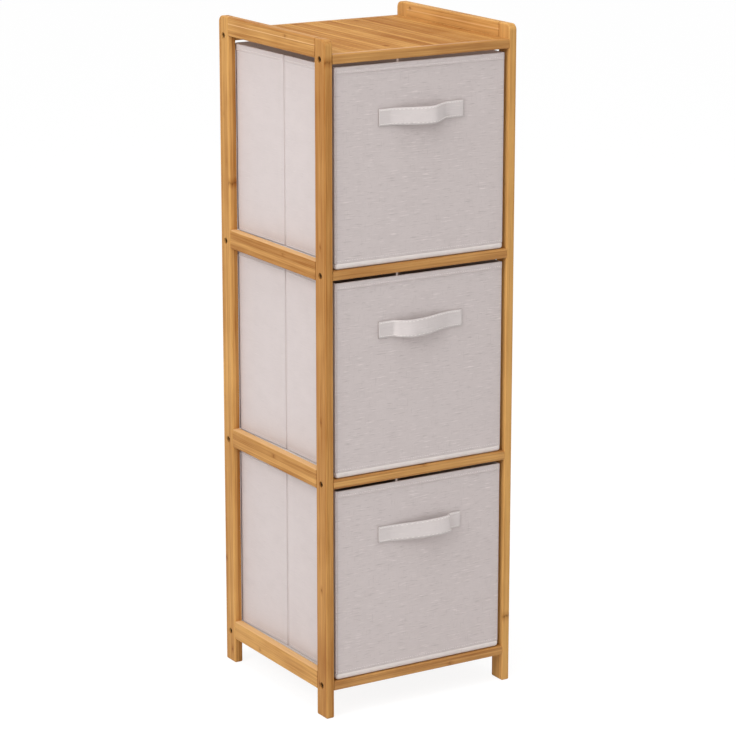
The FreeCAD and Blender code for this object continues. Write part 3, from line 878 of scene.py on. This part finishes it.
def sew_hinge(name, face, facing, gap, heights):
    """A strip of cloth in a plane of constant X, a little under the walls' faces, over a gap along Y."""
    crease = name.endswith("crease_cloth")
    reach = CREASE_REACH if crease else CORNER_REACH
    depth = CREASE_DEPTH if crease else CORNER_DEPTH
    turn = CREASE_TURN if crease else CORNER_TURN
    low_y, high_y = gap[0] - reach, gap[1] + reach
    bm = bmesh.new()
    bmesh.ops.create_grid(bm, x_segments=1, y_segments=HINGE_ROWS, size=0.5)
    bmesh.ops.scale(bm, vec=(high_y - low_y, heights[1] - heights[0], 1), verts=bm.verts)
    bmesh.ops.rotate(bm, matrix=STAND_UP, verts=bm.verts)
    place = Vector((face - facing * depth, (low_y + high_y) / 2, sum(heights) / 2))
    bmesh.ops.translate(bm, vec=place, verts=bm.verts)
    if crease:
        slice_board(bm, Y, (gap[0] + CREASE_LAP - CREASE_TUCK, gap[1] - CREASE_LAP + CREASE_TUCK))
    else:
        slice_board(bm, Y, [low_y + (high_y - low_y) * i / CORNER_STEPS for i in range(1, CORNER_STEPS)])
    bmesh.ops.solidify(bm, geom=bm.faces[:], thickness=HINGE_CLOTH)
    bmesh.ops.recalc_face_normals(bm, faces=bm.faces[:])
    for strip_face in bm.faces:
        if strip_face.normal.x * facing < 0:
            strip_face.material_index = HINGE_LINING
    # The crease strip takes the darker linen of painted shade.
    piece = finish_piece(bm, name, None, "box_fabric", crease_painted_shade_linen if crease else side_linen, lining)
    start, end = place.copy(), place.copy()
    start.y, end.y = gap[0] - turn, gap[1] + turn
    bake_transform(piece)


hinges = 0
for box in BOXES:
    front_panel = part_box(f"box_{box}_front_panel")
    back_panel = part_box(f"box_{box}_back_panel")
    for side, facing in (("left", -1), ("right", 1)):
        front_low, front_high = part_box(f"box_{box}_{side}_front_leaf")
        rear_low, rear_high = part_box(f"box_{box}_{side}_rear_leaf")
        face = front_low.x if facing < 0 else front_high.x
        heights = (front_low.z, front_high.z - WALL_ROUND)
        sew_hinge(f"box_{box}_{side}_crease_cloth", face, facing,
                  (front_high.y, rear_low.y), heights)
        sew_hinge(f"box_{box}_{side}_rear_corner_cloth", face, facing,
                  (rear_high.y, back_panel[0].y), heights)
        hinges += 2
    corner_gap = (front_panel[1].y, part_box(f"box_{box}_left_front_leaf")[0].y)
    sew_hinge(f"box_{box}_front_corner_cloth",
              front_panel[0].x, -1, corner_gap, heights)
    hinges += 1
print("hinges of cloth sewn:", hinges)

# %% [markdown]
# Inside a box, a tape covers the seam in each rear corner, where daylight comes through the needle holes
# and shows as a pale line in the dark. A lamp behind each seam would be a fuss, so the tape has a faint
# glow of its own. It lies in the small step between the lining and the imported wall, so it is clear of the
# fold.

# %% Sew the corner tapes
TAPE_WIDTH = 3.0 * MM
TAPE_PROUD = 0.42 * MM
TAPE_END = 3.0 * MM
TAPE_ROUND = 0.12 * MM


def sew_tape(box, side, facing):
    back_low, back_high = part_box(f"box_{box}_back_panel")
    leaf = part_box(f"box_{box}_{side}_rear_leaf")
    corner = leaf[0].x if facing > 0 else leaf[1].x
    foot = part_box(f"box_{box}_base")[1].z + TAPE_END
    head = back_high.z - TAPE_END
    lining_y = back_low.y + HEM_SINK
    low = Vector((min(corner, corner - facing * TAPE_WIDTH), lining_y - TAPE_PROUD, foot))
    high = Vector((max(corner, corner - facing * TAPE_WIDTH), lining_y + TAPE_ROUND, head))
    bm = board(low, high)
    round_edges(bm, bm.edges[:], TAPE_ROUND)
    slice_board(bm, Z, grid_places(low.z, high.z))
    middle = (low.x + high.x) / 2
    start, end = Vector((middle, low.y, foot)), Vector((middle, low.y, head))
    stitch_row(bm, start, end, Vector((0, -1, 0)), lambda spot: spot)
    finish_piece(bm, f"box_{box}_{side}_corner_tape", f"box_{box}", "box_fabric", tape, thread)


for box in BOXES:
    for side, facing in (("left", -1), ("right", 1)):
        sew_tape(box, side, facing)
print("corner tapes sewn:", 2 * len(BOXES))

# %% [markdown]
# The handle is a folded band of the same linen. Its two ends are sewn flat on the front, and the free
# length between them stands away from the wall and leans under its own weight. No two hang alike, so each
# has its own few points, and a smooth curve runs through them. A point says how far along the handle it
# is, what share of the bow it has there, and how many millimetres it is lifted.

# %% Draw the curves of the handles
STRAP_BOW = 11.2 * MM
STRAP_LEAN = 3.2 * MM
STRAP_SUNK = 0.4 * MM
CURVE_MARKS = 20
STRAP_CURVES = {
    "upper": ((0.0, 0.0, 0.0), (0.08, 0.0, 0.0), (0.15, 0.04, 0.2), (0.29, 0.45, -0.4), (0.46, 0.86, -1.4),
              (0.61, 1.0, -1.6), (0.71, 0.52, 0.4), (0.79, 0.06, 1.8), (0.9, 0.0, 2.0), (1.0, 0.0, 2.0)),
    "lower": ((0.0, 0.0, 0.0), (0.09, 0.0, 0.0), (0.18, 0.03, 0.0), (0.25, 0.6, -0.8), (0.37, 1.0, -1.8),
              (0.55, 0.82, -1.0), (0.7, 0.4, 0.8), (0.82, 0.05, 1.6), (0.92, 0.0, 1.8), (1.0, 0.0, 1.8)),
    "bottom": ((0.0, 0.0, 0.0), (0.08, 0.0, 0.0), (0.16, 0.04, 0.0), (0.34, 0.5, -0.4), (0.55, 0.88, -0.6),
               (0.71, 1.05, 0.0), (0.83, 0.8, 0.8), (0.85, 0.16, 1.6), (0.92, 0.0, 2.0), (1.0, 0.0, 2.0)),
}


def along_curve(keys, share):
    """A smooth curve through the keys: each stretch leaves its key in the direction of its neighbours."""
    place = share * (len(keys) - 1)
    index = min(int(place), len(keys) - 2)
    rest = place - index
    spots = [Vector(keys[min(max(i, 0), len(keys) - 1)]) for i in range(index - 1, index + 3)]
    before, start, end, after = spots
    leave, arrive = (end - before) / 2, (after - start) / 2
    return (start * (1 + 2 * rest) * (1 - rest) ** 2 + leave * rest * (1 - rest) ** 2
            + end * rest ** 2 * (3 - 2 * rest) + arrive * rest ** 2 * (rest - 1))


def strap_spot(box, share, height_share):
    """A point on the back of a handle: share runs along it and height_share from its foot to its head."""
    low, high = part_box(f"box_{box}_strap")
    x_share, bow, lift = along_curve(STRAP_CURVES[box], share)
    lean = (0.5 - height_share) * 2 * STRAP_LEAN * bow
    wall = high.y + FACE_SINK + STRAP_SUNK
    return Vector((low.x + (high.x - low.x) * x_share, wall - max(0.0, bow * STRAP_BOW + lean),
                   low.z + (high.z - low.z) * height_share + lift * MM))


for box in BOXES:
    reach = min(strap_spot(box, i / CURVE_MARKS, 0.5).y for i in range(CURVE_MARKS + 1))
    print("handle of the", box, "box reaches out to y =", round(reach / MM, 1), "mm")

# %% [markdown]
# With the curve known, a grid of points is laid along it and thickened. The narrow edges and the ends of
# the band get a darker linen, as painted shade along them, and rows of stitches run along both edges and
# across the patches at the ends. The length along the curve is the length the band was cut to.

# %% Sew the handles
STRAP_STEPS = 72
STRAP_ROWS = 6
STRAP_CLOTH = 2.0 * MM
STRAP_EDGE_TURN = 0.7
EDGE_PAINTED_SHADE_SLOT = 2
STRAP_SEAM = 0.1
STRAP_SEAM_START, STRAP_SEAM_LENGTH = 0.03, 0.94
STRAP_STITCHES = 30
STRAP_STITCH_SCALE = 1.4
PATCH_STITCHES = 5
PATCH_ENDS = (0.06, 0.24, 0.78, 0.96)
LENGTH_PROBE, HEIGHT_PROBE = 0.02, 0.05


def sew_along(bm, box, shares):
    """Stitches on the outside of a handle, each from one place of the list towards the next."""
    step = Vector(shares[1]) - Vector(shares[0])
    for share, height_share in shares:
        spot = strap_spot(box, share + step.x / 2, height_share + step.y / 2)
        before = strap_spot(box, share - LENGTH_PROBE, height_share)
        after = strap_spot(box, share + LENGTH_PROBE, height_share)
        length_way = (after - before).normalized()
        height_way = (strap_spot(box, share, height_share + HEIGHT_PROBE) - spot).normalized()
        out = length_way.cross(height_way).normalized()
        along = length_way if step.x else (height_way - height_way.project(out)).normalized()
        lay_stitch(bm, spot + out * STRAP_CLOTH, along, out, STRAP_STITCH_SCALE)


def sew_strap_seams(bm, box):
    for height_share in (STRAP_SEAM, 1 - STRAP_SEAM):
        step = STRAP_SEAM_LENGTH / STRAP_STITCHES
        sew_along(bm, box, [(STRAP_SEAM_START + step * i, height_share) for i in range(STRAP_STITCHES)])
    for end_share in PATCH_ENDS:
        step = (1 - 2 * STRAP_SEAM) / PATCH_STITCHES
        sew_along(bm, box, [(end_share, STRAP_SEAM + step * i) for i in range(PATCH_STITCHES)])


def sew_strap(box):
    node = f"box_{box}_strap"
    bm = bmesh.new()
    bmesh.ops.create_grid(bm, x_segments=STRAP_STEPS, y_segments=STRAP_ROWS, size=0.5)
    for vert in bm.verts:
        vert.co = strap_spot(box, vert.co.x + 0.5, vert.co.y + 0.5)
    bmesh.ops.recalc_face_normals(bm, faces=bm.faces[:])
    if sum(face.normal.y for face in bm.faces) > 0:
        bmesh.ops.reverse_faces(bm, faces=bm.faces[:])
    bmesh.ops.solidify(bm, geom=bm.faces[:], thickness=-STRAP_CLOTH)
    bmesh.ops.recalc_face_normals(bm, faces=bm.faces[:])
    low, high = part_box(node)
    # Painted shade: the narrow edges and the ends of the band take the darker linen.
    for face in bm.faces:
        middle = face.calc_center_median()
        at_end = min(middle.x - low.x, high.x - middle.x) < SKIN
        if at_end or abs(face.normal.z) > STRAP_EDGE_TURN:
            face.material_index = EDGE_PAINTED_SHADE_SLOT
    sew_strap_seams(bm, box)
    finishes = (strap_linen, thread, strap_edge_painted_shade_linen)
    piece = finish_piece(bm, f"{node}_cloth", f"box_{box}_front", "strap_fabric", *finishes)
    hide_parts(node)
    marks = [strap_spot(box, i / STRAP_STEPS, 0.5) for i in range(STRAP_STEPS + 1)]
    length = sum((end - start).length for start, end in zip(marks, marks[1:]))
    return length


lengths = [sew_strap(box) for box in BOXES]
print("handles sewn, cut lengths in mm:", [round(length / MM, 1) for length in lengths])

# %% [markdown]
# The stage is a wide pale floor in a bright, even room: a soft lamp high on the left, a weaker one in
# front, one above and a sky of plain light. Camera rays see the floor and the sky as nearly white, while
# the floor keeps the shadow.

# %% Set the stage
FLOOR_SIZE = 60.0
FLOOR_GREY = (0.86, 0.86, 0.86, 1.0)
FLOOR_ROUGHNESS = 0.9
FLOOR_GLOW = 1.12
FLOOR_GLOW_SHARE = 0.8
SKY_WHITE = (1.0, 1.0, 1.0, 1.0)
SKY_LIGHT = 0.5
LAMPS = (
    ("lamp_left", (-2.9, -1.0, 2.7), 2.2, 61.0),
    ("lamp_front", (-1.1, -2.2, 2.4), 1.2, 7.6),
    ("lamp_above", (-0.3, -0.4, 4.2), 2.4, 48.0),
)


def seen_directly(wire):
    """1 for rays that should meet the white background: straight, mirrored or through glass."""
    rays = [wire.node("ShaderNodeLightPath", None, None, f"Is {kind} Ray")
            for kind in ("Camera", "Glossy", "Transmission")]
    return rays[0].maths("MAXIMUM", rays[0], rays[1].maths("MAXIMUM", rays[1], rays[2]))


def studio_floor():
    bm = bmesh.new()
    bmesh.ops.create_grid(bm, x_segments=1, y_segments=1, size=FLOOR_SIZE / 2)
    mesh = bpy.data.meshes.new("studio_floor")
    bm.to_mesh(mesh)
    bm.free()
    floor = bpy.data.objects.new("studio_floor", mesh)
    bpy.context.scene.collection.objects.link(floor)
    finish, shader, wire, _ = start_finish("studio_floor")
    shader.inputs["Base Color"].default_value = FLOOR_GREY
    shader.inputs["Roughness"].default_value = FLOOR_ROUGHNESS
    glow = wire.node("ShaderNodeEmission", None, {"Strength": FLOOR_GLOW})
    lit = Wire(finish.node_tree, shader.outputs[0])
    white = seen_directly(wire) * FLOOR_GLOW_SHARE
    mixed = wire.node("ShaderNodeMixShader", None, {0: white, 1: lit, 2: glow})
    feed(finish.node_tree.nodes["Material Output"], "Surface", mixed)
    mesh.materials.append(finish)


def studio_sky():
    world = bpy.data.worlds.new("studio_sky")
    bpy.context.scene.world = world
    world.use_nodes = True
    wire = Wire(world.node_tree)
    background = world.node_tree.nodes["Background"]
    background.inputs["Color"].default_value = SKY_WHITE
    feed(background, "Strength", seen_directly(wire) * (1 - SKY_LIGHT) + SKY_LIGHT)


def soft_lamp(name, place, size, power):
    lamp = bpy.data.lights.new(name, "AREA")
    lamp.shape = "DISK"
    lamp.size = size
    lamp.energy = power
    stand = bpy.data.objects.new(name, lamp)
    bpy.context.scene.collection.objects.link(stand)
    aim = (cad_low + cad_high) / 2
    stand.location = place
    stand.rotation_euler = (aim - Vector(place)).to_track_quat("-Z", "Y").to_euler()


studio_floor()
studio_sky()
for lamp_values in LAMPS:
    soft_lamp(*lamp_values)
bpy.context.scene.view_settings.view_transform = "Standard"
print("stage set with", len(LAMPS), "lamps")

# %% [markdown]
# The photograph looks at the shelf from its left front and a little above, through a long lens. The
# camera is placed by that angle, by the distance and by the point it aims at, so a change to one of them
# is easy to read.

# %% Place the camera
AIM = Vector((-3.6, -4.3, 507.5)) * MM
CAMERA_DISTANCE = 4594 * MM
CAMERA_AZIMUTH = math.radians(-31.32)
CAMERA_HEIGHT_ANGLE = math.radians(14.59)
CAMERA_LENS = 142.3

level = math.cos(CAMERA_HEIGHT_ANGLE)
back = Vector((math.sin(CAMERA_AZIMUTH) * level, -math.cos(CAMERA_AZIMUTH) * level,
               math.sin(CAMERA_HEIGHT_ANGLE)))
camera = bpy.data.objects.new("camera", bpy.data.cameras.new("camera"))
bpy.context.scene.collection.objects.link(camera)
camera.data.lens = CAMERA_LENS
camera.location = AIM + back * CAMERA_DISTANCE
camera.rotation_euler = (-back).to_track_quat("-Z", "Y").to_euler()
bpy.context.scene.camera = camera
print("camera at", [round(c, 3) for c in camera.location])

# %% [markdown]
# Last, the scene is brought up to date. Cloth stands a little proud of the imported solids in places, while
# the bamboo keeps the imported solids as they are.

# %% Finish
bpy.context.view_layer.update()
